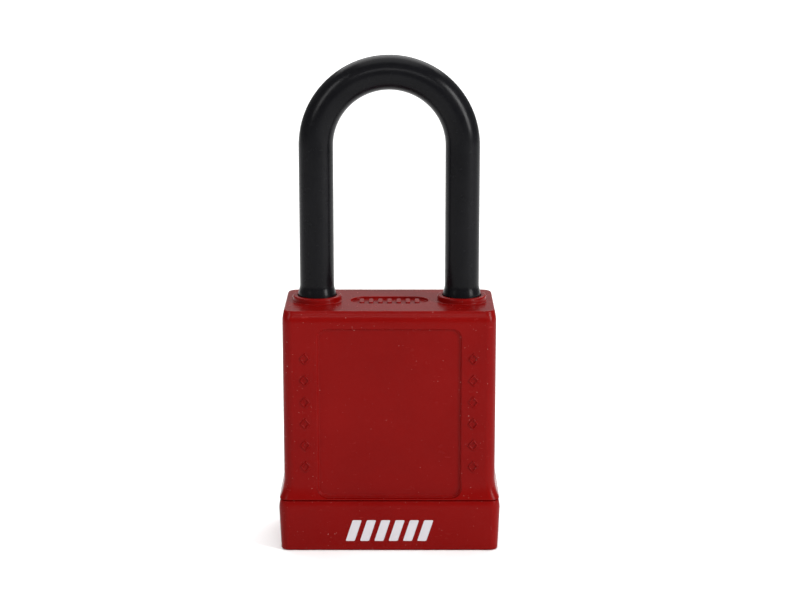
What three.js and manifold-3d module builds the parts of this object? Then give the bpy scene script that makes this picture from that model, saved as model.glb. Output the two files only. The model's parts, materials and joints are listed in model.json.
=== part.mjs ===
// Safety padlock for lockout work: a moulded two-piece jacket over a metal lock body, a steel
// shackle in a nylon sleeve, and a five-pin cylinder that throws two bolts into the shackle legs.
// Millimetres, +Z up, +X towards the toe leg, -Y the front. The origin is the centre of the base.
//
// The object is shown closed, with the cylinder turned to its open position and both bolts drawn
// back, so that the shackle is free to lift. The pin chambers in the plug then face +Y.
import * as THREE from 'three';
import { mergeVertices } from 'three/addons/utils/BufferGeometryUtils.js';
import Module from 'manifold-3d';

const wasm = await Module();
wasm.setup();

// ---- driving dimensions ---------------------------------------------------------------------

// jacket: the cover above the seam and the base cap below it
const COVER = {
  halfX: 20, halfY: 10, bottom: 10.1, top: 46.65, edge: 2,
  crownFrom: 44.25, crownX: 0.1, crownY: 0.3, topRound: 0.35,
};
const FLARE = { top: 14.3, growX: 0.92, growY: 0.62 };
const CAP = {
  top: 9.8, halfX: 21, halfY: 10.65, edge: 1.9, taper: 0.35, chamfer: 0.35, chamferBreak: 0.1,
  crownFrom: 8.2, crown: 0.2, topRound: 0.25,
};
const CAVITY = { halfX: 18.3, halfY: 8.3, edge: 3.3, floor: 1.7, roof: 44.9 };
const LIP = {
  halfX: 18.95, halfY: 8.95, edge: 3.8, root: 8.3, top: 11.9, lead: 0.1,
  ridge: 0.15, ridgeZ: 11.2, ridgeFlat: 0.15, ridgeFoot: 0.4,
};
const REBATE = { grow: 0.2, top: 12.3, ridgeFlat: 0.25, ridgeFoot: 0.5 };
const COLLAR = { radius: 4.65, bore: 3.85, root: 45.7, top: 47.75, seat: 46.2, round: 0.25 };
const LABEL = { halfX: 13.4, bottom: 10.7, top: 43.2, corner: 1.7, depth: 0.4 };
const PLAQUE = {
  length: 14.7, width: 5.8, endRadius: 2.89, depth: 0.4,
  bars: 7, pitch: 1.75, barX: 0.9, barY: 2.8, barProud: 0.2,
};
const PIP = {
  x: 15.8, top: 37.6, pitch: 4.2, count: 6, sizeX: 2.1, sizeZ: 2.35, corner: 0.5, proud: 0.35,
};

// lock body: the metal block inside the jacket
const BLOCK = { halfX: 18, halfY: 8, bottom: 2, top: 44.6, edge: 3 };

// shackle
const LEG_X = 13.75;
const CORE_R = 2.5;
const CORE_HOLE_R = 2.8;
const SLEEVE = {
  radius: 3.25, bore: 2.6, bottom: 46.4,
  footRadius: 3.6, footTop: 48.9, blend: 0.8, footRound: 0.2, footRoundTop: 46.7,
};
const ARCH_Z = 76.2;
const HEEL = { end: 15.3, headTop: 19.3, neckTop: 24, neckRadius: 1.5, flatDepth: 1 };
const TOE_END = 33.8;
const NOTCH = { bottom: 35.8, top: 40.2, depth: 1.95 };
const LEG_BORE = { radius: 2.6, heelFloor: 5, toeFloor: 33.3 };
const LIFT_COIL = {
  bottom: 5.3, top: 15.1, radius: 2, wire: 0.25, activeTurns: 4, stepsPerTurn: 9, sides: 6,
};

// cylinder
const PLUG = { radius: 6, face: 0.6, top: 27, grooveZ: 25, grooveWidth: 1.8, grooveDepth: 1 };
const PLUG_CHAMFER = 0.3;
const PLUG_BORE = { radius: 6.15, roof: 41, mouthRadius: 6.4 };
const KEYWAY_TOP = 23.4;
// The key slot's section, narrower than the pins, with a ward down each side.
const KEYWAY_OUTLINE = [
  [-1, -5], [0.4, -5], [0.4, -3.4], [1, -2.8], [1, -1], [0.3, -0.4],
  [0.3, 0.6], [1, 1.2], [1, 2.6], [-0.3, 2.6], [-1, 1.9], [-1, 0.2],
  [-0.4, -0.4], [-0.4, -1.8], [-1, -2.4],
];
const TONGUE = { width: 2.4, length: 8, height: 1.6, gap: 0.1 };
const CAM = { bottom: 27.3, discTop: 31, hubTop: 35.6, discRadius: 5.6, hubRadius: 3.2 };
const CRANK = { radius: 1.5556, pin: 0.5, top: 38.6, degrees: [135, 315] };

// bolts, which slide along X
const BOLT = {
  radius: 2, bore: 2.1, z: 38, tailEnd: -3, shoulder: 3.3, end: 10.8, split: 0.15, chamfer: 0.35,
};
const BOLT_SLOT = { half: 0.65, top: 38.8 };
const BOLT_BORE_PLUG = { inner: 16.5, outer: 17.8 };

// pin stacks, one for each cut in the key
const PIN = { radius: 1.4, bore: 1.5, firstZ: 6, pitch: 4, chamberFloor: 0.9 };
const KEY_PIN_LENGTHS = [3.2, 3.8, 3.5, 4.1, 3.0];
const KEY_PIN = { outer: 5.8, tipRadius: 0.5, tipLength: 0.8 };
const DRIVER = { inner: 6.25, outer: 9.55, chamfer: 0.2 };
const CHAMBER_PLUG = { inner: 15.9, outer: 17.8 };
const PIN_COIL = {
  inner: 9.75, outer: 15.7, radius: 1.1, wire: 0.16, activeTurns: 3, stepsPerTurn: 7, sides: 5,
};

// cross pins, pressed in along Y
const RETAINER = { x: -5.85, radius: 0.75, half: 7.7 };
const STOP = { x: -11.2, z: 34.5, radius: 0.95, half: 7.7 };
const PRESS_GAP = 0.05;

// facets
const ROUND = 20;
const FINE_ROUND = 40;
const SMALL_ROUND = 12;
const CORNER_STEPS = 5;
const PIP_CORNER_STEPS = 2;
const ARCH_STEPS = 20;
const FLARE_STEPS = 6;
const CROWN_STEPS = 4;
const ROUND_STEPS = 2;

// working allowances
const OVERCUT = 1;
const CUT_OVERLAP = 0.1;
const MERGE = 1e-4;

// ---- materials ------------------------------------------------------------------------------

const red = { color: 0x9c1414, roughness: 0.35, metalness: 0 };
const black = { color: 0x1c1d20, roughness: 0.5, metalness: 0 };
const aluminium = { color: 0xb4b6b9, roughness: 0.45, metalness: 0.9 };
const steel = { color: 0x8d9094, roughness: 0.3, metalness: 1 };
const spring = { color: 0xa5a7ab, roughness: 0.25, metalness: 1 };
const brass = { color: 0xb8944a, roughness: 0.3, metalness: 1 };

// ---- shape helpers --------------------------------------------------------------------------

// A closed three.js geometry as a solid that can be cut and joined.
function solid(geometry) {
  const bare = geometry.clone();
  bare.deleteAttribute('normal');
  bare.deleteAttribute('uv');
  const merged = mergeVertices(bare, MERGE);
  const corners = merged.index.array;
  const kept = [];
  for (let i = 0; i < corners.length; i += 3) {
    const [a, b, c] = corners.slice(i, i + 3);
    if (a !== b && b !== c && c !== a) {
      kept.push(a, b, c);
    }
  }
  return new wasm.Manifold(new wasm.Mesh({
    numProp: 3,
    vertProperties: Float32Array.from(merged.attributes.position.array),
    triVerts: Uint32Array.from(kept),
  }));
}

// A solid back as a geometry.
function geometryOf(body) {
  const mesh = body.getMesh();
  const geometry = new THREE.BufferGeometry();
  geometry.setAttribute('position', new THREE.BufferAttribute(mesh.vertProperties, 3));
  geometry.setIndex(new THREE.BufferAttribute(mesh.triVerts, 1));
  geometry.computeVertexNormals();
  return geometry;
}

// A block between two corners.
function block([x0, y0, z0], [x1, y1, z1]) {
  const geometry = new THREE.BoxGeometry(x1 - x0, y1 - y0, z1 - z0);
  geometry.translate((x0 + x1) / 2, (y0 + y1) / 2, (z0 + z1) / 2);
  return solid(geometry);
}

// A turned piece about Z. The profile is [radius, z] pairs from the axis, or round a ring.
function turned(profile, sides = ROUND, x = 0, y = 0) {
  const points = profile.map(([radius, z]) => new THREE.Vector2(radius, z));
  const geometry = new THREE.LatheGeometry(points, sides);
  geometry.rotateX(Math.PI / 2);
  geometry.translate(x, y, 0);
  return solid(geometry);
}

// A plain round bar along Z.
function bar(radius, z0, z1, sides = ROUND, x = 0, y = 0) {
  return turned([[0, z0], [radius, z0], [radius, z1], [0, z1]], sides, x, y);
}

// The same turned piece lying along +X or +Y, with its own zero at a point.
function turnedAlong(axis, profile, at, sides) {
  const points = profile.map(([radius, z]) => new THREE.Vector2(radius, z));
  const geometry = new THREE.LatheGeometry(points, sides);
  if (axis === 'x') {
    geometry.rotateZ(-Math.PI / 2);
  }
  geometry.translate(...at);
  return solid(geometry);
}

// A plain round bar along X or Y, from one place to another on that axis.
function barAlong(axis, radius, from, to, at, sides = SMALL_ROUND) {
  return turnedAlong(axis, [[0, from], [radius, from], [radius, to], [0, to]], at, sides);
}

// Points round a rectangle with rounded corners, anticlockwise from above.
function roundedRing(halfX, halfY, radius, steps = CORNER_STEPS) {
  const ring = [];
  const corners = [[1, 1], [-1, 1], [-1, -1], [1, -1]];
  corners.forEach(([sx, sy], quarter) => {
    for (let step = 0; step <= steps; step += 1) {
      const angle = (quarter + step / steps) * Math.PI / 2;
      ring.push(new THREE.Vector2(
        sx * (halfX - radius) + radius * Math.cos(angle),
        sy * (halfY - radius) + radius * Math.sin(angle),
      ));
    }
  });
  return ring;
}

// A solid through rounded rectangles, each { z, halfX, halfY, edge }, from the bottom up.
function loft(sections) {
  const rings = sections.map((s) => roundedRing(s.halfX, s.halfY, s.edge));
  const count = rings[0].length;
  const positions = [];
  const indices = [];
  rings.forEach((ring, level) => {
    ring.forEach((p) => positions.push(p.x, p.y, sections[level].z));
  });
  for (let level = 0; level < rings.length - 1; level += 1) {
    for (let i = 0; i < count; i += 1) {
      const a = level * count + i;
      const b = level * count + (i + 1) % count;
      indices.push(a, b, b + count, a, b + count, a + count);
    }
  }
  const bottomCentre = positions.length / 3;
  const topCentre = bottomCentre + 1;
  const topRing = (rings.length - 1) * count;
  positions.push(0, 0, sections[0].z, 0, 0, sections.at(-1).z);
  for (let i = 0; i < count; i += 1) {
    const next = (i + 1) % count;
    indices.push(bottomCentre, next, i, topCentre, topRing + i, topRing + next);
  }
  const geometry = new THREE.BufferGeometry();
  geometry.setAttribute('position', new THREE.Float32BufferAttribute(positions, 3));
  geometry.setIndex(indices);
  return solid(geometry);
}

// A straight-sided rounded block.
function roundedBlock(halfX, halfY, edge, z0, z1) {
  return loft([z0, z1].map((z) => ({ z, halfX, halfY, edge })));
}

// A rounded outline in the XZ plane, centred on [x, z], pushed through from y0 to y1.
function uprightPad(ring, [x, z], [y0, y1]) {
  const shape = new THREE.Shape(ring);
  const geometry = new THREE.ExtrudeGeometry(shape, { depth: y1 - y0, bevelEnabled: false });
  geometry.rotateX(Math.PI / 2);
  geometry.translate(x, y1, z);
  return solid(geometry);
}

// A curve through stations, one step between each two, so that straight stretches stay one step.
class StationCurve extends THREE.Curve {
  constructor(stations) {
    super();
    this.stations = stations;
  }

  getPoint(t, target = new THREE.Vector3()) {
    const last = this.stations.length - 1;
    const place = THREE.MathUtils.clamp(t, 0, 1) * last;
    const from = Math.min(Math.floor(place), last - 1);
    return target.lerpVectors(this.stations[from], this.stations[from + 1], place - from);
  }

  getUtoTmapping(u) {
    return u;
  }
}

// A round bar bent along stations.
function bentBar(stations, radius, sides) {
  const section = new THREE.Shape();
  for (let i = 0; i < sides; i += 1) {
    const angle = (i / sides) * Math.PI * 2;
    const point = [radius * Math.cos(angle), radius * Math.sin(angle)];
    if (i === 0) {
      section.moveTo(...point);
    } else {
      section.lineTo(...point);
    }
  }
  return solid(new THREE.ExtrudeGeometry(section, {
    steps: stations.length - 1,
    extrudePath: new StationCurve(stations),
    bevelEnabled: false,
  }));
}

// A compression spring about Z from 0 to length, with one closed turn at each end.
function coilSpring({ radius, wire, activeTurns, stepsPerTurn, sides }, length) {
  const closedPitch = 2.3;
  const endPitch = wire * closedPitch;
  const activePitch = (length - 2 * wire - 2 * endPitch) / activeTurns;
  const turns = activeTurns + 2;
  const stations = [];
  for (let step = 0; step <= turns * stepsPerTurn; step += 1) {
    const turn = step / stepsPerTurn;
    const angle = turn * Math.PI * 2;
    const active = THREE.MathUtils.clamp(turn - 1, 0, activeTurns);
    const height = wire + active * activePitch + (turn - active) * endPitch;
    stations.push(new THREE.Vector3(radius * Math.cos(angle), radius * Math.sin(angle), height));
  }
  return bentBar(stations, wire, sides);
}

// ---- jacket ---------------------------------------------------------------------------------

// The outside of the cover: a flared skirt, straight sides, a slight crown that leans in towards
// the top, and a small round at the top edge.
function coverOutside() {
  const { halfX, halfY, bottom, top, edge, crownFrom, crownX, crownY, topRound } = COVER;
  const sections = [];
  for (let step = 0; step <= FLARE_STEPS; step += 1) {
    const z = THREE.MathUtils.lerp(bottom, FLARE.top, step / FLARE_STEPS);
    const grow = (1 - step / FLARE_STEPS) ** 2;
    sections.push({
      z,
      halfX: halfX + FLARE.growX * grow,
      halfY: halfY + FLARE.growY * grow,
      edge,
    });
  }
  for (let step = 0; step <= CROWN_STEPS; step += 1) {
    const t = step / CROWN_STEPS;
    sections.push({
      z: THREE.MathUtils.lerp(crownFrom, top - topRound, t),
      halfX: halfX - crownX * t ** 2,
      halfY: halfY - crownY * t ** 2,
      edge,
    });
  }
  for (let step = 1; step <= ROUND_STEPS; step += 1) {
    const angle = (step / ROUND_STEPS) * Math.PI / 2;
    const inset = topRound * (1 - Math.cos(angle));
    sections.push({
      z: top - topRound * (1 - Math.sin(angle)),
      halfX: halfX - crownX - inset,
      halfY: halfY - crownY - inset,
      edge: edge - inset,
    });
  }
  return loft(sections);
}

// The raised ring that each shackle leg enters.
function collar(x) {
  const { radius, bore, root, top, round } = COLLAR;
  return turned([
    [bore, root],
    [radius, root],
    [radius, top - round],
    [radius - round, top],
    [bore + round, top],
    [bore, top - round],
    [bore, root],
  ], FINE_ROUND, x);
}

// Small raised pips down both edges of a face; side is -1 at the front and 1 at the back.
function pipColumns(side) {
  const inner = COVER.halfY - OVERCUT / 2;
  const outer = COVER.halfY + PIP.proud;
  const span = side < 0 ? [-outer, -inner] : [inner, outer];
  const outline = roundedRing(PIP.sizeX / 2, PIP.sizeZ / 2, PIP.corner, PIP_CORNER_STEPS);
  const pips = [];
  for (let row = 0; row < PIP.count; row += 1) {
    for (const x of [-PIP.x, PIP.x]) {
      pips.push(uprightPad(outline, [x, PIP.top - row * PIP.pitch], span));
    }
  }
  return pips;
}

// The shallow label panel cut into a face.
function labelRecess(side) {
  const floor = COVER.halfY - LABEL.depth;
  const outer = COVER.halfY + OVERCUT;
  const span = side < 0 ? [-outer, -floor] : [floor, outer];
  const outline = roundedRing(LABEL.halfX, (LABEL.top - LABEL.bottom) / 2, LABEL.corner);
  return uprightPad(outline, [0, (LABEL.top + LABEL.bottom) / 2], span);
}

// The long oval sunk in the top face.
function plaqueRecess() {
  return roundedBlock(
    PLAQUE.length / 2,
    PLAQUE.width / 2,
    PLAQUE.endRadius,
    COVER.top - PLAQUE.depth,
    COVER.top + OVERCUT,
  );
}

// Plain raised bars that stand in the oval.
function plaqueBars() {
  const { bars: count, pitch, barX, barY, barProud } = PLAQUE;
  const floor = COVER.top - PLAQUE.depth;
  const first = -((count - 1) / 2) * pitch;
  const bars = [];
  for (let i = 0; i < count; i += 1) {
    const x = first + i * pitch;
    bars.push(block(
      [x - barX / 2, -barY / 2, floor - barProud],
      [x + barX / 2, barY / 2, floor + barProud],
    ));
  }
  return bars;
}

// The step inside the cover's rim that the base cap's lip snaps into.
function rimRebate() {
  const { halfX, halfY, edge, ridge, ridgeZ } = LIP;
  const { grow, top, ridgeFlat, ridgeFoot } = REBATE;
  const levels = [
    [COVER.bottom - OVERCUT, 0],
    [ridgeZ - ridgeFoot, 0],
    [ridgeZ - ridgeFlat, ridge],
    [ridgeZ + ridgeFlat, ridge],
    [ridgeZ + ridgeFoot, 0],
    [top, 0],
  ];
  return loft(levels.map(([z, out]) => ({
    z,
    halfX: halfX + grow + out,
    halfY: halfY + grow + out,
    edge: edge + out,
  })));
}

function cover() {
  let body = coverOutside();
  for (const x of [-LEG_X, LEG_X]) {
    body = body.add(collar(x));
  }
  for (const side of [-1, 1]) {
    body = body.subtract(labelRecess(side));
    for (const pip of pipColumns(side)) {
      body = body.add(pip);
    }
  }
  body = body.subtract(plaqueRecess());
  for (const mark of plaqueBars()) {
    body = body.add(mark);
  }
  body = body.subtract(rimRebate());
  const { halfX, halfY, edge, roof } = CAVITY;
  body = body.subtract(roundedBlock(halfX, halfY, edge, COVER.bottom - OVERCUT, roof));
  for (const x of [-LEG_X, LEG_X]) {
    body = body.subtract(bar(COLLAR.bore, COLLAR.seat, COLLAR.top + OVERCUT, FINE_ROUND, x));
    body = body.subtract(bar(CORE_HOLE_R, roof - OVERCUT, COLLAR.seat + OVERCUT, ROUND, x));
  }
  return body;
}

// The tray that closes the bottom, with a lip inside the cover's rim and a hole for the cylinder.
function baseCap() {
  const { top, taper, chamfer, chamferBreak, crownFrom, crown, topRound } = CAP;
  const levels = [
    [0, -taper - chamfer],
    [chamferBreak, -taper - chamferBreak],
    [chamfer, -taper],
    [crownFrom, 0],
    [(crownFrom + top - topRound) / 2, -crown / 4],
    [top - topRound, -crown],
    [top, -crown - topRound],
  ];
  const tray = loft(levels.map(([z, out]) => ({
    z,
    halfX: CAP.halfX + out,
    halfY: CAP.halfY + out,
    edge: CAP.edge + out,
  })));
  const { ridge, ridgeZ, ridgeFlat, ridgeFoot } = LIP;
  const lipLevels = [
    [LIP.root, 0],
    [ridgeZ - ridgeFoot, 0],
    [ridgeZ - ridgeFlat, ridge],
    [ridgeZ + ridgeFlat, ridge],
    [ridgeZ + ridgeFoot, 0],
    [LIP.top, -LIP.lead],
  ];
  const lip = loft(lipLevels.map(([z, out]) => ({
    z,
    halfX: LIP.halfX + out,
    halfY: LIP.halfY + out,
    edge: LIP.edge + out,
  })));
  const inside = roundedBlock(
    CAVITY.halfX,
    CAVITY.halfY,
    CAVITY.edge,
    CAVITY.floor,
    LIP.top + OVERCUT,
  );
  const opening = bar(PLUG_BORE.mouthRadius, -OVERCUT, CAVITY.floor + OVERCUT, FINE_ROUND);
  return tray.add(lip).subtract(inside).subtract(opening);
}

// ---- lock body ------------------------------------------------------------------------------

const pinHeights = KEY_PIN_LENGTHS.map((_, i) => PIN.firstZ + i * PIN.pitch);

function lockBody() {
  const { halfX, halfY, bottom, top, edge } = BLOCK;
  const past = halfX + OVERCUT;
  let body = roundedBlock(halfX, halfY, edge, bottom, top);
  const cuts = [
    bar(PLUG_BORE.radius, bottom - OVERCUT, PLUG_BORE.roof, FINE_ROUND),
    bar(LEG_BORE.radius, LEG_BORE.heelFloor, top + OVERCUT, ROUND, -LEG_X),
    bar(LEG_BORE.radius, LEG_BORE.toeFloor, top + OVERCUT, ROUND, LEG_X),
    barAlong('x', BOLT.bore, -LEG_X, past, [0, 0, BOLT.z], ROUND),
    barAlong('y', RETAINER.radius + PRESS_GAP, -past, past, [RETAINER.x, 0, PLUG.grooveZ]),
    barAlong('y', STOP.radius + PRESS_GAP, -past, past, [STOP.x, 0, STOP.z]),
    ...pinHeights.map((z) => barAlong('x', PIN.bore, 0, past, [0, 0, z])),
  ];
  for (const cut of cuts) {
    body = body.subtract(cut);
  }
  return body;
}

// ---- shackle --------------------------------------------------------------------------------

// Up the heel leg, over the arch and down the toe leg.
function shackleStations(heelEnd, toeEnd) {
  const stations = [new THREE.Vector3(-LEG_X, 0, heelEnd)];
  for (let step = 0; step <= ARCH_STEPS; step += 1) {
    const angle = Math.PI * (1 - step / ARCH_STEPS);
    stations.push(new THREE.Vector3(
      LEG_X * Math.cos(angle),
      0,
      ARCH_Z + LEG_X * Math.sin(angle),
    ));
  }
  stations.push(new THREE.Vector3(LEG_X, 0, toeEnd));
  return stations;
}

// The part of a leg's round outside that a turned neck takes away.
function neckRing(x, z0, z1) {
  const outer = CORE_R + OVERCUT;
  return turned([
    [HEEL.neckRadius, z0],
    [outer, z0],
    [outer, z1],
    [HEEL.neckRadius, z1],
    [HEEL.neckRadius, z0],
  ], ROUND, x);
}

// The steel bar, with a bolt notch on the inner side of each leg. The heel leg keeps a full
// head below a turned neck and a long flat, so the stop pin holds it in when it lifts, and
// the neck lets it swing when it is up.
function shackleCore() {
  const half = CORE_R + OVERCUT;
  const toeFloor = LEG_X - CORE_R + NOTCH.depth;
  const flatFloor = LEG_X - CORE_R + HEEL.flatDepth;
  const inner = LEG_X - CORE_R - OVERCUT;
  const cuts = [
    block([inner, -half, NOTCH.bottom], [toeFloor, half, NOTCH.top]),
    block([-toeFloor, -half, NOTCH.bottom], [-inner, half, NOTCH.top]),
    block([-flatFloor, -half, HEEL.neckTop], [-inner, half, NOTCH.top]),
    neckRing(-LEG_X, HEEL.headTop, HEEL.neckTop + CUT_OVERLAP),
  ];
  let body = bentBar(shackleStations(HEEL.end, TOE_END), CORE_R, ROUND);
  for (const cut of cuts) {
    body = body.subtract(cut);
  }
  return body;
}

// The nylon sleeve, which swells into a foot where it meets each collar.
function shackleSleeve() {
  const { radius, bore, bottom, footRadius, footTop, blend, footRound, footRoundTop } = SLEEVE;
  let body = bentBar(shackleStations(bottom + blend, bottom + blend), radius, ROUND);
  for (const x of [-LEG_X, LEG_X]) {
    body = body.add(turned([
      [0, bottom],
      [footRadius - footRound, bottom],
      [footRadius, footRoundTop],
      [footRadius, footTop],
      [radius, footTop + blend],
      [0, footTop + blend],
    ], ROUND, x));
  }
  return body.subtract(bentBar(shackleStations(bottom - OVERCUT, bottom - OVERCUT), bore, ROUND));
}

function liftSpring() {
  const { bottom, top } = LIFT_COIL;
  return coilSpring(LIFT_COIL, top - bottom).translate([-LEG_X, 0, bottom]);
}

// ---- cylinder -------------------------------------------------------------------------------

function keyway() {
  const shape = new THREE.Shape(KEYWAY_OUTLINE.map(([x, y]) => new THREE.Vector2(x, y)));
  const depth = KEYWAY_TOP - PLUG.face + OVERCUT;
  const geometry = new THREE.ExtrudeGeometry(shape, { depth, bevelEnabled: false });
  geometry.translate(0, 0, PLUG.face - OVERCUT);
  return solid(geometry);
}

function cylinderPlug() {
  const { radius, face, top, grooveZ, grooveWidth, grooveDepth } = PLUG;
  let body = turned([
    [0, face],
    [radius - PLUG_CHAMFER, face],
    [radius, face + PLUG_CHAMFER],
    [radius, grooveZ - grooveWidth / 2],
    [radius - grooveDepth, grooveZ - grooveWidth / 2],
    [radius - grooveDepth, grooveZ + grooveWidth / 2],
    [radius, grooveZ + grooveWidth / 2],
    [radius, top],
    [0, top],
  ], FINE_ROUND);
  const { width, length, height } = TONGUE;
  body = body.add(block(
    [-width / 2, -length / 2, top - OVERCUT],
    [width / 2, length / 2, top + height],
  ));
  body = body.subtract(keyway());
  for (const z of pinHeights) {
    body = body.subtract(barAlong('y', PIN.bore, PIN.chamberFloor, radius + OVERCUT, [0, 0, z]));
  }
  return body;
}

// The turned cam on the plug's tongue, with two crank pins that work the bolts.
function driveCam() {
  const { bottom, discTop, hubTop, discRadius, hubRadius } = CAM;
  let body = turned([
    [0, bottom],
    [discRadius, bottom],
    [discRadius, discTop],
    [hubRadius, discTop],
    [hubRadius, hubTop],
    [0, hubTop],
  ], ROUND);
  const halfWidth = TONGUE.width / 2 + TONGUE.gap;
  const halfLength = TONGUE.length / 2 + TONGUE.gap;
  const slotTop = PLUG.top + TONGUE.height + 2 * TONGUE.gap;
  body = body.subtract(block(
    [-halfWidth, -halfLength, bottom - OVERCUT],
    [halfWidth, halfLength, slotTop],
  ));
  for (const degrees of CRANK.degrees) {
    const angle = THREE.MathUtils.degToRad(degrees);
    const x = CRANK.radius * Math.cos(angle);
    const y = CRANK.radius * Math.sin(angle);
    body = body.add(bar(CRANK.pin, hubTop - OVERCUT, CRANK.top, SMALL_ROUND, x, y));
  }
  return body;
}

// A bolt along X; side is 1 for the toe and -1 for the heel. Its tail is half round, beside the
// other bolt's tail, with a slot from below for its crank pin.
function bolt(side) {
  const { radius, z, tailEnd, shoulder, end, split, chamfer } = BOLT;
  let body = turnedAlong('x', [
    [0, tailEnd],
    [radius, tailEnd],
    [radius, end - chamfer],
    [radius - chamfer, end],
    [0, end],
  ], [0, 0, z], ROUND);
  const past = radius + OVERCUT;
  body = body.subtract(block([tailEnd - OVERCUT, -past, z - past], [shoulder, split, z + past]));
  const slotX = -CRANK.radius * Math.SQRT1_2;
  body = body.subtract(block(
    [slotX - BOLT_SLOT.half, -past, z - past],
    [slotX + BOLT_SLOT.half, past, BOLT_SLOT.top],
  ));
  return side > 0 ? body : body.rotate([0, 0, 180]);
}

// ---- pin stacks -----------------------------------------------------------------------------

// A key pin along +Y in the plug, pointed where it meets the key.
function keyPin(length, z) {
  const { outer, tipRadius, tipLength } = KEY_PIN;
  const inner = outer - length;
  return turnedAlong('y', [
    [0, inner],
    [tipRadius, inner],
    [PIN.radius, inner + tipLength],
    [PIN.radius, outer],
    [0, outer],
  ], [0, 0, z], SMALL_ROUND);
}

// A driver pin along +X in the lock body, with a small chamfer at each end.
function driverPin(z) {
  const { inner, outer, chamfer } = DRIVER;
  return turnedAlong('x', [
    [0, inner],
    [PIN.radius - chamfer, inner],
    [PIN.radius, inner + chamfer],
    [PIN.radius, outer - chamfer],
    [PIN.radius - chamfer, outer],
    [0, outer],
  ], [0, 0, z], SMALL_ROUND);
}

function pinSpring(z) {
  const { inner, outer } = PIN_COIL;
  return coilSpring(PIN_COIL, outer - inner).rotate([0, 90, 0]).translate([inner, 0, z]);
}

function chamberPlug(z) {
  return barAlong('x', PIN.bore - PRESS_GAP, CHAMBER_PLUG.inner, CHAMBER_PLUG.outer, [0, 0, z]);
}

// ---- assembly -------------------------------------------------------------------------------

const padlock = new THREE.Group();

function place(name, finish, body) {
  const mesh = new THREE.Mesh(geometryOf(body), new THREE.MeshStandardMaterial(finish));
  mesh.name = name;
  padlock.add(mesh);
}

place('cover', red, cover());
place('base_cap', red, baseCap());
place('lock_body', aluminium, lockBody());

place('shackle_core', steel, shackleCore());
place('shackle_sleeve', black, shackleSleeve());
place('lift_spring', spring, liftSpring());
place('heel_stop_pin', steel, barAlong(
  'y', STOP.radius, -STOP.half, STOP.half, [STOP.x, 0, STOP.z],
));

place('cylinder_plug', brass, cylinderPlug());
place('drive_cam', steel, driveCam());
place('plug_retaining_pin', steel, barAlong(
  'y', RETAINER.radius, -RETAINER.half, RETAINER.half, [RETAINER.x, 0, PLUG.grooveZ],
));

place('toe_bolt', steel, bolt(1));
place('heel_bolt', steel, bolt(-1));
place('bolt_bore_plug', aluminium, barAlong(
  'x', BOLT.bore - PRESS_GAP, BOLT_BORE_PLUG.inner, BOLT_BORE_PLUG.outer, [0, 0, BOLT.z], ROUND,
));

pinHeights.forEach((z, i) => {
  place(`key_pin_${i + 1}`, brass, keyPin(KEY_PIN_LENGTHS[i], z));
  place(`driver_pin_${i + 1}`, brass, driverPin(z));
  place(`pin_spring_${i + 1}`, spring, pinSpring(z));
  place(`chamber_plug_${i + 1}`, aluminium, chamberPlug(z));
});

export default padlock;
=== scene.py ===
"""Safety padlock: the looks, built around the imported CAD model.

Blender 4.5. Shapes are worked out in millimetres and stored in metres, in the CAD frame:
+Z up, -Y the front, +X towards the toe leg of the shackle.
"""
import json
import math

import bmesh
import bpy
from mathutils import Matrix, Vector


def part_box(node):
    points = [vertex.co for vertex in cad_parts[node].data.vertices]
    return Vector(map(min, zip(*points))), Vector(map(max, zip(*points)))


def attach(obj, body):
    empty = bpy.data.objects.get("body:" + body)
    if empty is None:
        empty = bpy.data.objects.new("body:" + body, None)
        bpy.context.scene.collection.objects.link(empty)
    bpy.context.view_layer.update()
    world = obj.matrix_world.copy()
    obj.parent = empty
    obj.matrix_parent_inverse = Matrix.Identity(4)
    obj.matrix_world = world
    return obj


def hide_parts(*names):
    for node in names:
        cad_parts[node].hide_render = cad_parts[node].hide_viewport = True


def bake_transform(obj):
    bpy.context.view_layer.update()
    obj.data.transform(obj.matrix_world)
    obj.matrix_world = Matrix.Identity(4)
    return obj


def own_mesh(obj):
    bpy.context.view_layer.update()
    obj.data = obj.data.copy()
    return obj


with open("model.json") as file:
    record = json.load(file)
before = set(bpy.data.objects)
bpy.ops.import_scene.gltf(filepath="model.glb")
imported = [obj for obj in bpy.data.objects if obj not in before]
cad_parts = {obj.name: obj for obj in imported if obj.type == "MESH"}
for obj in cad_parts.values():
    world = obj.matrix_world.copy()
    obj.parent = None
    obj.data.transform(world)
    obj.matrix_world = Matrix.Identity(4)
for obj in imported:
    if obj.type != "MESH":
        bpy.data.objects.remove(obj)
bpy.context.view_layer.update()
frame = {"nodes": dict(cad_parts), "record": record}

MM = 0.001
FRONT, BACK = -1, 1
UP, DOWN = Vector((0, 0, 1)), Vector((0, 0, -1))


# ---- sizes, from the frame where it has them -------------------------------------------------

def box_mm(node):
    """A CAD node's lowest and highest corner in millimetres."""
    low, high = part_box(node)
    return low / MM, high / MM


COVER_LOW, COVER_HIGH = box_mm("cover")
CAP_HIGH = box_mm("base_cap")[1]
BLOCK_HIGH = box_mm("lock_body")[1]
SLEEVE_LOW, SLEEVE_HIGH = box_mm("shackle_sleeve")
CORE_LOW, CORE_HIGH = box_mm("shackle_core")
PLUG_LOW, PLUG_HIGH = box_mm("cylinder_plug")

# shackle
FOOT_R = 3.6
SLEEVE_R = (SLEEVE_HIGH.z - CORE_HIGH.z) + (CORE_HIGH.y - CORE_LOW.y) / 2
SLEEVE_BORE = 2.6
CORE_R = 2.5
LEG_X = SLEEVE_HIGH.x - FOOT_R
ARCH_Z = SLEEVE_HIGH.z - SLEEVE_R - LEG_X
TOE_END = 33.8
NECK_BOTTOM, NECK_TOP, NECK_R = 19.3, 24.0, 1.5
NOTCH_BOTTOM, NOTCH_TOP, NOTCH_DEPTH, FLAT_DEPTH = 35.8, 40.2, 1.95, 1.0

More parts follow.
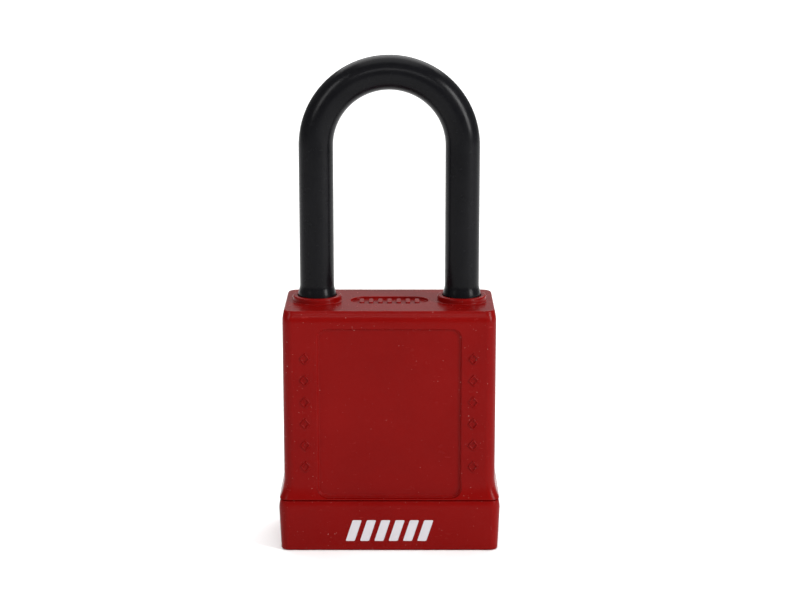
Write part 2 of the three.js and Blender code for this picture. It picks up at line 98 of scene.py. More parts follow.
# cover
COLLAR_TOP = COVER_HIGH.z
COLLAR_HEIGHT = 1.1
TOP = COLLAR_TOP - COLLAR_HEIGHT
FLARE_X, FLARE_Y, FLARE_HEIGHT = 0.92, 0.62, 4.2
SIDE_X = COVER_HIGH.x - FLARE_X
SIDE_Y = COVER_HIGH.y - FLARE_Y
SIDE_EDGE = 2.0
CROWN_HEIGHT, CROWN_X, CROWN_Y = 2.3, 0.22, 0.48
TOP_ROUND = 0.5
RIM_ROUND = 0.12
COLLAR_RADIUS, COLLAR_BORE, COLLAR_SEAT = 4.65, 3.7, TOP - 0.45
LEG_HOLE = 2.8
CAVITY_X, CAVITY_Y, CAVITY_EDGE = BLOCK_HIGH.x + 0.3, BLOCK_HIGH.y + 0.3, 3.3
CAVITY_ROOF = BLOCK_HIGH.z + 0.3

# label panels, top oval and raised marks
LABEL_HALF, LABEL_BOTTOM, LABEL_TOP = 13.4, COVER_LOW.z + 0.6, TOP - 3.45
LABEL_CORNER, LABEL_DEPTH = 1.7, 0.4
LABEL_FILLET, LABEL_LIP, LABEL_SPREAD = 0.22, 0.18, 1.6
PLAQUE_LENGTH, PLAQUE_WIDTH, PLAQUE_DEPTH = 14.7, 5.8, 0.5
PLAQUE_END = PLAQUE_WIDTH / 2 - 0.02
PLAQUE_FILLET, PLAQUE_LIP, PLAQUE_SPREAD = 0.15, 0.22, 1.4
BAR_COUNT, BAR_PITCH, BAR_HALF_X, BAR_HALF_Y = 7, 1.75, 0.45, 1.6
BAR_CORNER, BAR_SUNK, BAR_PROUD, BAR_ROUND = 0.4, 0.2, 0.42, 0.14
MARK_X, MARK_TOP, MARK_PITCH, MARK_ROWS = 15.8, 37.6, 4.2, 6
MARK_REACH_X, MARK_REACH_Z = 0.8, 0.95
MARK_HALF_WIDTH, MARK_PROUD, MARK_SUNK = 0.22, 0.2, 0.12

# base cap
CAP_TOP = COVER_LOW.z - 0.2
CAP_X, CAP_Y, CAP_EDGE = CAP_HIGH.x, CAP_HIGH.y, 1.9
CAP_TAPER = 0.35
CAP_BOTTOM_ROUND, CAP_TOP_ROUND = 0.35, 0.25
CAP_CROWN_FROM, CAP_CROWN = 8.2, 0.2
CAP_FLOOR = 1.7
LIP_X, LIP_Y, LIP_EDGE, LIP_LEAD = 18.95, 8.95, 3.8, 0.1
LIP_RIDGE_Z, LIP_RIDGE = 11.2, 0.15
REBATE_GAP, REBATE_TOP = 0.2, 12.3

# cylinder: the key slot's section has a ward down each side
PLUG_TOP = 27
GROOVE_Z, GROOVE_HALF, GROOVE_DEPTH = 25, 0.9, 1
TONGUE_HALF_X, TONGUE_HALF_Y = 1.2, 4
KEYWAY_TOP = 23.4
KEYWAY = [
    (-1, -5), (0.4, -5), (0.4, -3.4), (1, -2.8), (1, -1), (0.3, -0.4),
    (0.3, 0.6), (1, 1.2), (1, 2.6), (-0.3, 2.6), (-1, 1.9), (-1, 0.2),
    (-0.4, -0.4), (-0.4, -1.8), (-1, -2.4),
]

# pin stacks and springs
PIN_COUNT, PIN_FIRST_Z, PIN_PITCH = 5, 6, 4
CHAMBER_R, CHAMBER_FLOOR = 1.5, 0.9
CLOSED_PITCH = 2.3
LIFT_COIL = {"radius": 2, "wire": 0.25, "active_turns": 4}
PIN_COIL = {"radius": 1.1, "wire": 0.16, "active_turns": 3}

# fineness of the meshes, and how far a cutter runs past what it cuts
ROUND_STEPS, EDGE_STEPS, CROWN_STEPS, FLARE_STEPS = 4, 5, 8, 14
BODY_CORNER_STEPS, LIP_CORNER_STEPS, OVAL_STEPS = 14, 12, 16
FINE_ROUND, ROUND, SMALL_ROUND = 96, 64, 48
PAST = 1


# ---- mesh helpers ----------------------------------------------------------------------------

def quarter(steps, first=0):
    """Angles through a quarter turn, in equal steps."""
    return [step / steps * math.pi / 2 for step in range(first, steps + 1)]


def rounded_ring(half_x, half_y, radius, steps=10):
    """Points round a rectangle with rounded corners, anticlockwise."""
    ring = []
    for turn, (sx, sy) in enumerate([(1, 1), (-1, 1), (-1, -1), (1, -1)]):
        for step in range(steps + 1):
            angle = (turn + step / steps) * math.pi / 2
            ring.append((
                sx * (half_x - radius) + radius * math.cos(angle),
                sy * (half_y - radius) + radius * math.sin(angle),
            ))
    return ring


def skin(rings, closed=False):
    """A mesh through rings of points, capped at both ends, or joined end to end if closed."""
    bm = bmesh.new()
    loops = [[bm.verts.new(Vector(p) * MM) for p in ring] for ring in rings]
    pairs = list(zip(loops, loops[1:]))
    if closed:
        pairs.append((loops[-1], loops[0]))
    count = len(loops[0])
    for low, high in pairs:
        for i in range(count):
            j = (i + 1) % count
            bm.faces.new((low[i], low[j], high[j], high[i]))
    if not closed:
        bm.faces.new(reversed(loops[0]))
        bm.faces.new(loops[-1])
    bmesh.ops.recalc_face_normals(bm, faces=bm.faces)
    return bm


def shift(bm, x=0, y=0, z=0):
    """Moves a bmesh by a distance in millimetres."""
    bmesh.ops.translate(bm, verts=bm.verts, vec=Vector((x, y, z)) * MM)
    return bm


def to_object(name, bm):
    """A new object that holds a bmesh."""
    mesh = bpy.data.meshes.new(name)
    bm.to_mesh(mesh)
    bm.free()
    obj = bpy.data.objects.new(name, mesh)
    bpy.context.scene.collection.objects.link(obj)
    return obj


def join_meshes(parts):
    """Several bmeshes as one, with their shells kept apart."""
    joined = bmesh.new()
    for part in parts:
        mesh = bpy.data.meshes.new("part")
        part.to_mesh(mesh)
        part.free()
        joined.from_mesh(mesh)
        bpy.data.meshes.remove(mesh)
    return joined


def level_loft(sections, steps=10):
    """A solid through level rounded rectangles, each (z, half x, half y, corner radius)."""
    return skin([
        [(x, y, z) for x, y in rounded_ring(half_x, half_y, radius, steps)]
        for z, half_x, half_y, radius in sections
    ])


def face_loft(side, sections, centre_z, steps=8):
    """A solid through upright rounded rectangles on one face, each (y out, half x, half z, radius)."""
    return skin([
        [(x, side * y, centre_z + z) for x, z in rounded_ring(half_x, half_z, radius, steps)]
        for y, half_x, half_z, radius in sections
    ])


def circle(radius, sides):
    """Points round a circle, as pairs."""
    turns = [2 * math.pi * i / sides for i in range(sides)]
    return [(radius * math.cos(turn), radius * math.sin(turn)) for turn in turns]


def turned(profile, sides=ROUND, x=0, closed=False):
    """A piece turned about a line along Z, from (radius, z) pairs."""
    return skin([[(x + out, y, z) for out, y in circle(radius, sides)] for radius, z in profile], closed)


def block(low, high):
    """A plain block between two corners."""
    (x0, y0, z0), (x1, y1, z1) = low, high
    return skin([[(x0, y0, z), (x1, y0, z), (x1, y1, z), (x0, y1, z)] for z in (z0, z1)])


def apply_modifiers(obj):
    """Makes an object's modifiers part of its mesh."""
    graph = bpy.context.evaluated_depsgraph_get()
    mesh = bpy.data.meshes.new_from_object(obj.evaluated_get(graph))
    obj.modifiers.clear()
    old = obj.data
    obj.data = mesh
    bpy.data.meshes.remove(old)


def combine(obj, bm, operation):
    """Joins a solid to an object, or cuts it away."""
    other = to_object("tool", bm)
    modifier = obj.modifiers.new("combine", "BOOLEAN")
    modifier.operation = operation
    modifier.solver = "EXACT"
    modifier.object = other
    apply_modifiers(obj)
    mesh = other.data
    bpy.data.objects.remove(other)
    bpy.data.meshes.remove(mesh)


def join(obj, bm):
    """Joins a solid to an object."""
    combine(obj, bm, "UNION")


def cut(obj, bm):
    """Cuts a solid away from an object."""
    combine(obj, bm, "DIFFERENCE")


def smooth(obj, angle=32):
    """Smooth shading that keeps edges sharper than angle, with large faces kept flat."""
    bm = bmesh.new()
    bm.from_mesh(obj.data)
    bmesh.ops.remove_doubles(bm, verts=bm.verts, dist=1e-7)
    bmesh.ops.dissolve_degenerate(bm, edges=bm.edges, dist=1e-7)
    limit = math.radians(angle)
    for face in bm.faces:
        face.smooth = True
    for edge in bm.edges:
        edge.smooth = len(edge.link_faces) == 2 and edge.calc_face_angle(0) < limit
    bm.to_mesh(obj.data)
    bm.free()
    modifier = obj.modifiers.new("weighted", "WEIGHTED_NORMAL")
    modifier.keep_sharp = True
    modifier.weight = 80
    apply_modifiers(obj)


def paint(obj, material):
    """Gives an object one material."""
    obj.data.materials.clear()
    obj.data.materials.append(material)


def finish_piece(obj, material, body, slot, *nodes):
    """Gives a piece its material and its body, and hides the CAD nodes that it stands for. The slot
    argument is not used.
    """
    paint(obj, material)
    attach(obj, body)
    if nodes:
        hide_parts(*nodes)


# ---- material helpers ------------------------------------------------------------------------

class Graph:
    """A material's nodes, with its object coordinates and its main shader."""

    def __init__(self, name, **constants):
        self.material = bpy.data.materials.new(name)
        self.material.use_nodes = True
        self.tree = self.material.node_tree
        self.shader = self.tree.nodes["Principled BSDF"]
        self.coordinates = self.node("ShaderNodeTexCoord").outputs["Object"]
        for socket, value in constants.items():
            self.shader.inputs[socket.replace("_", " ")].default_value = value

    def node(self, kind, **settings):
        made = self.tree.nodes.new(kind)
        for key, value in settings.items():
            setattr(made, key, value)
        return made

    def link(self, source, target):
        self.tree.links.new(source, target)

    def stretched(self, scale):
        """Object coordinates scaled by a different amount along each axis."""
        mapping = self.node("ShaderNodeMapping")
        mapping.inputs["Scale"].default_value = scale
        self.link(self.coordinates, mapping.inputs["Vector"])
        return mapping.outputs["Vector"]

    def noise(self, size_mm, detail=3.0, roughness=0.5, vector=None):
        """Noise whose features are about size_mm across."""
        made = self.node("ShaderNodeTexNoise")
        made.inputs["Scale"].default_value = 1 / (size_mm * MM)
        made.inputs["Detail"].default_value = detail
        made.inputs["Roughness"].default_value = roughness
        self.link(vector or self.coordinates, made.inputs["Vector"])
        return made.outputs["Fac"]

    def ramp(self, source, low, high, out_low=0.0, out_high=1.0):
        """A value carried from one range to another, and held at its ends."""
        made = self.node("ShaderNodeMapRange")
        made.inputs["From Min"].default_value = low
        made.inputs["From Max"].default_value = high
        made.inputs["To Min"].default_value = out_low
        made.inputs["To Max"].default_value = out_high
        self.link(source, made.inputs["Value"])
        return made.outputs["Result"]

    def maths(self, operation, first, second):
        """Arithmetic on two values or sockets."""
        made = self.node("ShaderNodeMath", operation=operation)
        for socket, value in zip(made.inputs, (first, second)):
            if isinstance(value, (int, float)):
                socket.default_value = value
            else:
                self.link(value, socket)
        return made.outputs[0]

    def mix(self, factor, first, second):
        """A colour between two colours or sockets."""
        made = self.node("ShaderNodeMix", data_type="RGBA")
        self.link(factor, made.inputs[0])
        for socket, value in ((made.inputs[6], first), (made.inputs[7], second)):
            if isinstance(value, tuple):
                socket.default_value = (*value, 1)
            else:
                self.link(value, socket)
        return made.outputs[2]

    def bump(self, height, depth_mm, before=None):
        """A surface normal from a height, added to a bump that comes before it."""
        made = self.node("ShaderNodeBump")
        made.inputs["Strength"].default_value = 1
        made.inputs["Distance"].default_value = depth_mm * MM
        self.link(height, made.inputs["Height"])
        if before is not None:
            self.link(before, made.inputs["Normal"])
        return made.outputs["Normal"]

    def set(self, socket, source):
        self.link(source, self.shader.inputs[socket])


# ---- materials -------------------------------------------------------------------------------

def red_plastic():
    """Semi-gloss moulded thermoplastic with a little dust and handling."""
    deep, bright, grain_red = (0.131, 0.0011, 0.0008), (0.147, 0.0016, 0.0012), (0.17, 0.0029, 0.0023)
    dust_pink, scuff_pink = (0.62, 0.36, 0.33), (0.45, 0.06, 0.055)
    g = Graph("red_plastic", IOR=1.45, Specular_IOR_Level=0.072)
    tone = g.ramp(g.noise(14, detail=2), 0.35, 0.65)
    colour = g.mix(tone, deep, bright)
    grain = g.ramp(g.noise(0.5, detail=4, roughness=0.6), 0.3, 0.75, out_high=0.35)
    colour = g.mix(grain, colour, grain_red)
    dust = g.ramp(g.noise(0.33, detail=1), 0.76, 0.8, out_high=0.4)
    colour = g.mix(dust, colour, dust_pink)
    scuff_noise = g.noise(1, detail=5, roughness=0.7, vector=g.stretched((0.35, 0.35, 1.6)))
    scuffs = g.ramp(scuff_noise, 0.66, 0.8, out_high=0.3)
    g.set("Base Color", g.mix(scuffs, colour, scuff_pink))
    rough = g.ramp(g.noise(2.2, detail=4, roughness=0.6), 0.3, 0.7, 0.2, 0.28)
    g.set("Roughness", g.maths("ADD", rough, g.maths("MULTIPLY", scuffs, 0.5)))
    waves = g.bump(g.noise(6, detail=1), 0.008)
    g.set("Normal", g.bump(g.noise(0.22, roughness=0.6), 0.0022, before=waves))
    return g.material


def black_nylon():
    """Satin black nylon, slightly scuffed."""
    deep, soft, mark_grey = (0.0028, 0.0028, 0.0036), (0.0043, 0.0043, 0.0052), (0.016, 0.0165, 0.018)
    g = Graph("black_nylon", IOR=1.45, Specular_IOR_Level=0.1)
    tone = g.ramp(g.noise(6), 0.35, 0.65)
    colour = g.mix(tone, deep, soft)
    mark_noise = g.noise(0.6, detail=5, roughness=0.7, vector=g.stretched((1.5, 1.5, 0.4)))
    marks = g.ramp(mark_noise, 0.64, 0.8, out_high=0.5)
    g.set("Base Color", g.mix(marks, colour, mark_grey))
    rough = g.ramp(g.noise(1.6, detail=4, roughness=0.6), 0.3, 0.7, 0.2, 0.29)
    g.set("Roughness", g.maths("ADD", rough, g.maths("MULTIPLY", marks, 0.3)))
    g.set("Normal", g.bump(g.noise(0.25, roughness=0.6), 0.003))
    return g.material


def white_ink():
    """Pad-printed white ink, a little thin in places."""
    full_white, thin_pink = (0.47, 0.455, 0.48), (0.43, 0.26, 0.26)
    g = Graph("white_ink")
    thin = g.ramp(g.noise(0.16, roughness=0.7), 0.62, 0.78, out_high=0.5)
    g.set("Base Color", g.mix(thin, full_white, thin_pink))
    g.set("Roughness", g.ramp(g.noise(0.4, detail=2), 0.3, 0.7, 0.35, 0.5))
    g.set("Normal", g.bump(g.noise(0.12, detail=2), 0.004))
    return g.material


def metal(name, dark, light, rough, grain, depth_mm=0.004):
    """Worked metal; a small number in grain draws the tool marks out along that axis."""
    g = Graph(name, Metallic=1.0)
    lines = g.noise(0.35, detail=5, roughness=0.65, vector=g.stretched(grain))
    stain = g.ramp(g.noise(3), 0.35, 0.7, out_high=0.6)
    colour = g.mix(g.ramp(lines, 0.3, 0.7), dark, light)
    g.set("Base Color", g.mix(stain, colour, tuple(0.82 * c for c in light)))
    g.set("Roughness", g.ramp(lines, 0.3, 0.7, rough - 0.06, rough + 0.08))
    g.set("Normal", g.bump(lines, depth_mm))
    return g.material


def studio_paper():
    """Matt white studio paper."""
    g = Graph("studio_paper", Roughness=0.9)
    g.set("Base Color", g.mix(g.noise(40), (0.95, 0.95, 0.95), (0.98, 0.98, 0.98)))
    g.set("Normal", g.bump(g.noise(0.8), 0.02))
    return g.material


# ---- cover -----------------------------------------------------------------------------------

def cover_outside():
    """The cover's outside, from its rounded rim up the flared skirt to the filleted top edge."""
    bottom = COVER_LOW.z
    sections = []

    def add(z, out_x, out_y, inset=0):
        sections.append((z, SIDE_X + out_x - inset, SIDE_Y + out_y - inset, SIDE_EDGE - inset))

    def add_skirt(z, inset=0):
        grow = max(0.0, 1 - (z - bottom) / FLARE_HEIGHT) ** 2
        add(z, FLARE_X * grow, FLARE_Y * grow, inset)

    for angle in quarter(ROUND_STEPS):
        add_skirt(bottom + RIM_ROUND * (1 - math.cos(angle)), RIM_ROUND * (1 - math.sin(angle)))
    for step in range(1, FLARE_STEPS + 1):
        add_skirt(bottom + RIM_ROUND + (FLARE_HEIGHT - RIM_ROUND) * step / FLARE_STEPS)
    for step in range(CROWN_STEPS + 1):
        t = step / CROWN_STEPS
        z = TOP - CROWN_HEIGHT + (CROWN_HEIGHT - TOP_ROUND) * t
        add(z, -CROWN_X * t * t, -CROWN_Y * t * t)
    for angle in quarter(EDGE_STEPS, first=1):
        z = TOP - TOP_ROUND * (1 - math.sin(angle))
        add(z, -CROWN_X, -CROWN_Y, TOP_ROUND * (1 - math.cos(angle)))
    return level_loft(sections, BODY_CORNER_STEPS)


def sunk_profile(depth, fillet, lip, spread):
    """How a sunk panel's wall runs, as (distance out from the floor, growth of the outline)."""
    past = 1.2
    draft = 1.001
    profile = [
        (fillet * (1 - math.cos(angle)), -spread * fillet * (1 - math.sin(angle)))
        for angle in quarter(ROUND_STEPS)
    ]
    profile += [
        (depth - lip * (1 - math.sin(angle)), spread * lip * (1 - math.cos(angle)))
        for angle in quarter(ROUND_STEPS)
    ]
    profile.append((depth + past, spread * lip * draft))
    return profile


def label_panel(side):
    """The cutter for a label panel, with a filleted floor and a rounded lip."""
    half_z = (LABEL_TOP - LABEL_BOTTOM) / 2
    floor = SIDE_Y - LABEL_DEPTH
    sections = [
        (floor + out, LABEL_HALF + grow, half_z + grow, LABEL_CORNER + grow)
        for out, grow in sunk_profile(LABEL_DEPTH, LABEL_FILLET, LABEL_LIP, LABEL_SPREAD)
    ]
    return face_loft(side, sections, (LABEL_TOP + LABEL_BOTTOM) / 2)


def plaque_oval():
    """The cutter for the long oval in the top."""
    floor = TOP - PLAQUE_DEPTH
    sections = [
        (floor + out, PLAQUE_LENGTH / 2 + grow, PLAQUE_WIDTH / 2 + grow, PLAQUE_END + grow)
        for out, grow in sunk_profile(PLAQUE_DEPTH, PLAQUE_FILLET, PLAQUE_LIP, PLAQUE_SPREAD)
    ]
    return level_loft(sections, OVAL_STEPS)


def plaque_bar():
    """A raised bar with a rounded top edge, standing on the oval's floor."""
    floor = TOP - PLAQUE_DEPTH
    sections = [(floor - BAR_SUNK, BAR_HALF_X, BAR_HALF_Y, BAR_CORNER)]
    for angle in quarter(3):
        inset = BAR_ROUND * (1 - math.cos(angle))
        z = floor + BAR_PROUD - BAR_ROUND * (1 - math.sin(angle))
        sections.append((z, BAR_HALF_X - inset, BAR_HALF_Y - inset, BAR_CORNER - inset))
    return level_loft(sections, 5)


def plaque_marks():
    """Plain raised bars across the oval."""
    middle = (BAR_COUNT - 1) / 2
    return join_meshes([shift(plaque_bar(), (i - middle) * BAR_PITCH) for i in range(BAR_COUNT)])


def diamond_mark(side, x0, z0):
    """A raised diamond outline, with a half-round section, on the front or back face."""
    corners = [(MARK_REACH_X, 0), (0, MARK_REACH_Z), (-MARK_REACH_X, 0), (0, -MARK_REACH_Z)]
    per_side, arc_steps = 5, 6
    arc = [k / arc_steps * math.pi for k in range(arc_steps + 1)]
    section = [(MARK_HALF_WIDTH * math.cos(angle), MARK_PROUD * math.sin(angle)) for angle in arc]
    section += [(-MARK_HALF_WIDTH, -MARK_SUNK), (MARK_HALF_WIDTH, -MARK_SUNK)]
    rings = []
    for (x, z), (next_x, next_z) in zip(corners, corners[1:] + corners[:1]):
        for step in range(per_side):
            t = step / per_side
            px, pz = x + (next_x - x) * t, z + (next_z - z) * t
            length = math.hypot(px, pz)
            out_x, out_z = px / length, pz / length
            rings.append([
                (x0 + px + out_x * across, side * (SIDE_Y + up), z0 + pz + out_z * across)
                for across, up in section
            ])
    return skin(rings, closed=True)


def side_marks():
    """The columns of raised marks down both edges of both faces."""
    return join_meshes([
        diamond_mark(side, x, MARK_TOP - row * MARK_PITCH)
        for side in (FRONT, BACK)
        for x in (-MARK_X, MARK_X)
        for row in range(MARK_ROWS)
    ])


def collar(x):
    """The raised ring round a shackle leg, with a rounded rim and a small fillet at its foot."""
    foot, rim, mouth = 0.2, 0.32, 0.2
    root, spread, sunk = TOP - 1.0, 0.22, 0.02
    profile = [(COLLAR_BORE, root), (COLLAR_RADIUS, root), (COLLAR_RADIUS + spread, TOP - sunk)]
    profile += [
        (COLLAR_RADIUS + foot * (1 - math.sin(angle)), TOP + foot * (1 - math.cos(angle)))
        for angle in quarter(ROUND_STEPS)
    ]
    profile += [
        (COLLAR_RADIUS - rim * (1 - math.cos(angle)), COLLAR_TOP - rim * (1 - math.sin(angle)))
        for angle in quarter(EDGE_STEPS)
    ]
    profile += [
        (COLLAR_BORE + mouth * (1 - math.sin(angle)), COLLAR_TOP - mouth * (1 - math.cos(angle)))
        for angle in quarter(ROUND_STEPS)
    ]
    return turned(profile, FINE_ROUND, x, closed=True)


def lip_rebate():
    """The cutter for the rebate inside the rim, with a groove for the base cap's ridge."""
    mouth_half, floor_half = 0.5, 0.25
    levels = (
        (COVER_LOW.z - PAST, 0),
        (LIP_RIDGE_Z - mouth_half, 0),
        (LIP_RIDGE_Z - floor_half, LIP_RIDGE),
        (LIP_RIDGE_Z + floor_half, LIP_RIDGE),
        (LIP_RIDGE_Z + mouth_half, 0),
        (REBATE_TOP, 0),
    )
    return level_loft([
        (z, LIP_X + REBATE_GAP + out, LIP_Y + REBATE_GAP + out, LIP_EDGE + out)
        for z, out in levels
    ])


def cavity(bottom, top, steps=10):
    """The cutter for the space that the lock body stands in."""
    return level_loft([(z, CAVITY_X, CAVITY_Y, CAVITY_EDGE) for z in (bottom, top)], steps)


def make_cover(material):
    """The red shell above the seam."""
    cover = to_object("cover_shell", cover_outside())
    legs = (-LEG_X, LEG_X)
    for x in legs:
        join(cover, collar(x))
    for side in (FRONT, BACK):
        cut(cover, label_panel(side))
    cut(cover, plaque_oval())
    join(cover, plaque_marks())
    join(cover, side_marks())
    cut(cover, lip_rebate())
    cut(cover, cavity(COVER_LOW.z - PAST, CAVITY_ROOF))
    seat = [(COLLAR_BORE, COLLAR_SEAT), (COLLAR_BORE, COLLAR_TOP + PAST)]
    hole = [(LEG_HOLE, CAVITY_ROOF - PAST), (LEG_HOLE, COLLAR_SEAT + PAST)]
    for x in legs:
        cut(cover, turned(seat, FINE_ROUND, x))
        cut(cover, turned(hole, ROUND, x))
    smooth(cover)
    finish_piece(cover, material, "body", "red_plastic", "cover")


# ---- base cap --------------------------------------------------------------------------------

def cap_growth(z):
    """How far the base cap's drafted wall stands in at a height."""
    t = (z - CAP_BOTTOM_ROUND) / (CAP_CROWN_FROM - CAP_BOTTOM_ROUND)
    return -CAP_TAPER * (1 - min(max(t, 0), 1))


def cap_outside():
    """The base cap's outside: walls that widen upwards and lean in a little at the top."""
    sections = []

    def add(z, out):
        sections.append((z, CAP_X + out, CAP_Y + out, CAP_EDGE + out))

    for angle in quarter(EDGE_STEPS):
        z = CAP_BOTTOM_ROUND * (1 - math.cos(angle))
        add(z, cap_growth(0) - CAP_BOTTOM_ROUND * (1 - math.sin(angle)))
    crown_top = CAP_TOP - CAP_TOP_ROUND
    for step in range(CROWN_STEPS + 1):
        t = step / CROWN_STEPS
        add(CAP_CROWN_FROM + (crown_top - CAP_CROWN_FROM) * t, -CAP_CROWN * t * t)
    for angle in quarter(EDGE_STEPS, first=1):
        z = CAP_TOP - CAP_TOP_ROUND * (1 - math.sin(angle))
        add(z, -CAP_CROWN - CAP_TOP_ROUND * (1 - math.cos(angle)))
    return level_loft(sections, BODY_CORNER_STEPS)


def cap_lip():
    """The lip that goes up inside the cover, with the ridge that snaps into its groove."""
    root = CAP_TOP - 1.6
    foot_half, crest_half = 0.4, 0.15
    levels = (
        (root, 0),
        (LIP_RIDGE_Z - foot_half, 0),
        (LIP_RIDGE_Z - crest_half, LIP_RIDGE),
        (LIP_RIDGE_Z + crest_half, LIP_RIDGE),
        (LIP_RIDGE_Z + foot_half, 0),
        (CAP_HIGH.z, -LIP_LEAD),
    )
    sections = [(z, LIP_X + out, LIP_Y + out, LIP_EDGE + out) for z, out in levels]
    return level_loft(sections, LIP_CORNER_STEPS)


def make_base_cap(material):
    """The red tray below the seam, open in the middle for the cylinder."""
    cap = to_object("base_tray", cap_outside())
    join(cap, cap_lip())
    cut(cap, cavity(CAP_FLOOR, CAP_HIGH.z + PAST, LIP_CORNER_STEPS))
    clearance, mouth = 0.4, 0.25
    bore = PLUG_HIGH.x + clearance
    opening = [(bore + mouth + PAST, -PAST), (bore + mouth, 0), (bore, mouth), (bore, CAP_FLOOR + PAST)]
    cut(cap, turned(opening, FINE_ROUND))
    smooth(cap)
    finish_piece(cap, material, "body", "red_plastic", "base_cap")


def print_bar(x0, width, slant, z0, z1):
    """One slanted printed bar on the base cap's front, following its tapered face."""
    film = 0.02
    corner = 0.22
    middle = (z1 + z0) / 2
    outline = [
        (x0 + x + slant * z, middle + z)
        for x, z in rounded_ring(width / 2, (z1 - z0) / 2, corner, 5)
    ]
    return skin([
        [(x, -(CAP_Y + cap_growth(z) + out), z) for x, z in outline]
        for out in (-film, film)
    ])


def make_print(material):
    """The white pad-printed band: plain slanted bars."""
    count, pitch, width = 6, 2.72, 1.72
    z0, z1 = 1.95, 6.15
    slant = 0.32
    middle = (count - 1) / 2
    bars = [print_bar((i - middle) * pitch, width, slant, z0, z1) for i in range(count)]
    band = to_object("printed_band", join_meshes(bars))
    smooth(band)
    finish_piece(band, material, "body", "red_plastic")


# ---- shackle ---------------------------------------------------------------------------------

def shackle_path(heel_end, toe_end, leg_step=1.2, arch_steps=72):
    """Points and directions up the heel leg, over the arch and down the toe leg."""
    path = []
    count = max(2, round((ARCH_Z - heel_end) / leg_step))
    for step in range(count):
        z = heel_end + (ARCH_Z - heel_end) * step / count
        path.append((Vector((-LEG_X, 0, z)), UP))
    for step in range(arch_steps + 1):
        angle = math.pi * (1 - step / arch_steps)
        path.append((
            Vector((LEG_X * math.cos(angle), 0, ARCH_Z + LEG_X * math.sin(angle))),
            Vector((math.sin(angle), 0, -math.cos(angle))),
        ))
    count = max(2, round((ARCH_Z - toe_end) / leg_step))
    for step in range(1, count + 1):
        z = ARCH_Z + (toe_end - ARCH_Z) * step / count
        path.append((Vector((LEG_X, 0, z)), DOWN))
    return path


def swept_ring(point, direction, radius):
    """A round section across a direction that lies in the XZ plane."""
    across = Vector((direction.z, 0, -direction.x))
    deep = Vector((0, 1, 0))
    turns = [2 * math.pi * i / ROUND for i in range(ROUND)]
    return [point + radius * (math.cos(turn) * across + math.sin(turn) * deep) for turn in turns]


def heel_ring(z, radius):
    """A round section of the heel leg."""
    return swept_ring(Vector((-LEG_X, 0, z)), UP, radius)


def toe_ring(z, radius):
    """A round section of the toe leg."""
    return swept_ring(Vector((LEG_X, 0, z)), DOWN, radius)


def foot_radius(z):
    """The sleeve's outer radius near its foot: full at the bottom, blending into the bar."""
    full, blend = 1.2, 2.2
    t = min(max((z - SLEEVE_LOW.z - full) / blend, 0), 1)
    ease = t * t * (3 - 2 * t)
    return FOOT_R + (SLEEVE_R - FOOT_R) * ease


def make_sleeve(material):
    """The nylon sleeve: a swept tube with swollen feet, rounded at both mouths."""
    bottom = SLEEVE_LOW.z
    foot_round, mouth, foot_steps = 0.25, 0.2, 16
    foot_height, bar_from = 4.5, bottom + 4.8
    foot = [
        (bottom + foot_round * (1 - math.cos(angle)), FOOT_R - foot_round * (1 - math.sin(angle)))
        for angle in quarter(ROUND_STEPS)
    ]
    for step in range(1, foot_steps + 1):
        z = bottom + foot_round + (foot_height - foot_round) * step / foot_steps
        foot.append((z, foot_radius(z)))
    rings = [heel_ring(z, radius) for z, radius in foot]
    rings += [swept_ring(p, d, SLEEVE_R) for p, d in shackle_path(bar_from, bar_from)]
    rings += [toe_ring(z, radius) for z, radius in reversed(foot)]
    inside = shackle_path(bottom + mouth, bottom + mouth, leg_step=4, arch_steps=48)
    rings.append(toe_ring(bottom, SLEEVE_BORE + mouth))
    rings += [swept_ring(p, d, SLEEVE_BORE) for p, d in reversed(inside)]
    rings.append(heel_ring(bottom, SLEEVE_BORE + mouth))
    sleeve = to_object("sleeve_tube", skin(rings, closed=True))
    smooth(sleeve, 50)
    finish_piece(sleeve, material, "shackle", "black_nylon", "shackle_sleeve")


def make_core(material):
    """The steel bar, with its chamfered ends, turned neck, flat and bolt notches."""
    end_chamfer, neck_chamfer = 0.5, 0.3
    heel_end = CORE_LOW.z
    heel = [
        (heel_end, CORE_R - end_chamfer),
        (heel_end + end_chamfer, CORE_R),
        (NECK_BOTTOM - neck_chamfer, CORE_R),
        (NECK_BOTTOM, CORE_R - neck_chamfer),
        (NECK_BOTTOM, NECK_R),
        (NECK_TOP, NECK_R),
        (NECK_TOP, CORE_R),
    ]
    toe = [(TOE_END + end_chamfer, CORE_R), (TOE_END, CORE_R - end_chamfer)]
    rings = [heel_ring(z, radius) for z, radius in heel]
    rings += [swept_ring(p, d, CORE_R) for p, d in shackle_path(NECK_TOP + 1, TOE_END + 1, leg_step=6)]
    rings += [toe_ring(z, radius) for z, radius in toe]
    core = to_object("core_bar", skin(rings))
    inner_face = LEG_X - CORE_R
    notch, flat, inner = inner_face + NOTCH_DEPTH, inner_face + FLAT_DEPTH, inner_face - PAST
    deep = CORE_R + PAST
    cut(core, block((inner, -deep, NOTCH_BOTTOM), (notch, deep, NOTCH_TOP)))
    cut(core, block((-notch, -deep, NOTCH_BOTTOM), (-inner, deep, NOTCH_TOP)))
    cut(core, block((-flat, -deep, NECK_TOP - 0.1), (-inner, deep, NOTCH_TOP)))
    smooth(core)
    finish_piece(core, material, "shackle", "shackle_steel", "shackle_core")


# ---- cylinder --------------------------------------------------------------------------------

def pin_height(number):
    """The height of a pin stack's axis, counted from 1."""
    return PIN_FIRST_Z + PIN_PITCH * (number - 1)


def pin_chamber(number):
    """The cutter for a pin chamber, which runs into the plug from the back."""
    ring = circle(CHAMBER_R, SMALL_ROUND)
    return skin([
        [(x, depth, pin_height(number) + z) for x, z in ring]
        for depth in (CHAMBER_FLOOR, PLUG_HIGH.x + PAST)
    ])


